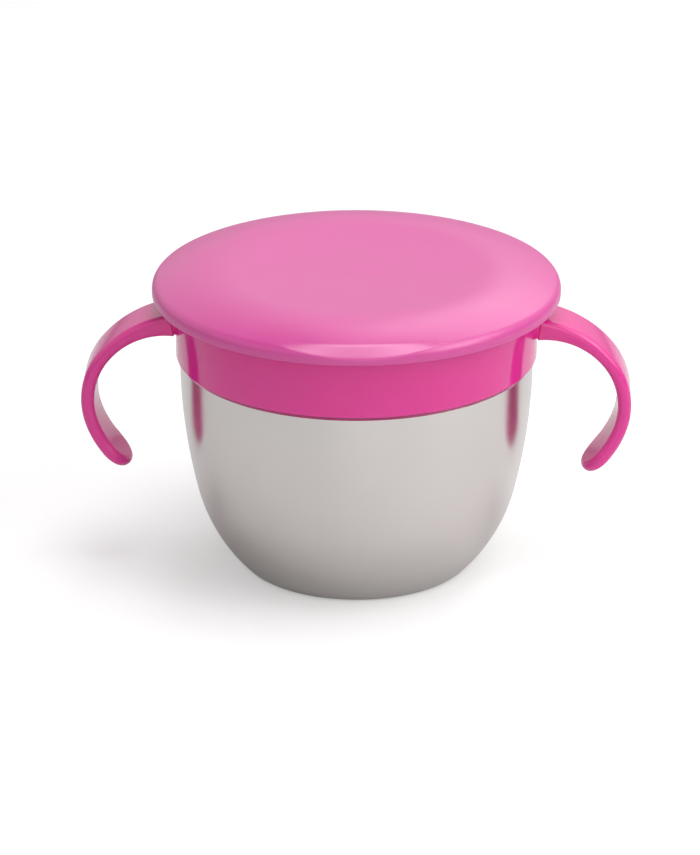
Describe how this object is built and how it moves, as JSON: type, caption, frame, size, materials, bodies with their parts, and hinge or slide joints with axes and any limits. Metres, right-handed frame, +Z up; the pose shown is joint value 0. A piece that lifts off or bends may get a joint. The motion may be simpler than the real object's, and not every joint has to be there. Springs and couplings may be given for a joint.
{
  "type": "toddler snack container",
  "caption": "Round steel snack bowl with a clip-on collar, two strap handles, soft hand-through flaps inside and a dished press-on lid with a finger scoop.",
  "frame": {"origin": "centre of the base on the bowl's axis, at the plane that the bowl stands on", "axes": "+Z up along the bowl's axis, +X towards the right handle, -Y towards the lid's finger scoop"},
  "size_m": [0.138, 0.102, 0.0785],
  "materials": {
    "steel": "brushed",
    "collar_plastic": "gloss",
    "lid_plastic": "satin",
    "soft_flaps": "matte",
    "seal_silicone": "matte"
  },
  "bodies": {
    "bowl": {"steel_bowl": "steel"},
    "collar": {"collar": "collar_plastic", "left_handle": "collar_plastic", "right_handle": "collar_plastic", "rim_seal": "seal_silicone", "flap_ring": "soft_flaps"},
    "lid": {"lid": "lid_plastic"},
    "flap_1": {"flap_1": "soft_flaps"},
    "flap_2": {"flap_2": "soft_flaps"},
    "flap_3": {"flap_3": "soft_flaps"},
    "flap_4": {"flap_4": "soft_flaps"},
    "flap_5": {"flap_5": "soft_flaps"},
    "flap_6": {"flap_6": "soft_flaps"}
  },
  "joints": [
    {"name": "collar_lift", "type": "slide", "parent": "bowl", "child": "collar", "axis": [0, 0, 1], "range_m": [0, 0.07]},
    {"name": "lid_lift", "type": "slide", "parent": "collar", "child": "lid", "axis": [0, 0, 1], "range_m": [0, 0.05]},
    {"name": "flap_1_bend", "type": "hinge", "parent": "collar", "child": "flap_1", "pos_m": [0.02612, 0.01508, 0.06745], "axis": [0.5, -0.866, 0], "range_deg": [0, 70], "stiffness_Nm_per_rad": 0.01},
    {"name": "flap_2_bend", "type": "hinge", "parent": "collar", "child": "flap_2", "pos_m": [0, 0.03016, 0.06745], "axis": [1, 0, 0], "range_deg": [0, 70], "stiffness_Nm_per_rad": 0.01},
    {"name": "flap_3_bend", "type": "hinge", "parent": "collar", "child": "flap_3", "pos_m": [-0.02612, 0.01508, 0.06745], "axis": [0.5, 0.866, 0], "range_deg": [0, 70], "stiffness_Nm_per_rad": 0.01},
    {"name": "flap_4_bend", "type": "hinge", "parent": "collar", "child": "flap_4", "pos_m": [-0.02612, -0.01508, 0.06745], "axis": [-0.5, 0.866, 0], "range_deg": [0, 70], "stiffness_Nm_per_rad": 0.01},
    {"name": "flap_5_bend", "type": "hinge", "parent": "collar", "child": "flap_5", "pos_m": [0, -0.03016, 0.06745], "axis": [-1, 0, 0], "range_deg": [0, 70], "stiffness_Nm_per_rad": 0.01},
    {"name": "flap_6_bend", "type": "hinge", "parent": "collar", "child": "flap_6", "pos_m": [0.02612, -0.01508, 0.06745], "axis": [-0.5, -0.866, 0], "range_deg": [0, 70], "stiffness_Nm_per_rad": 0.01}
  ]
}
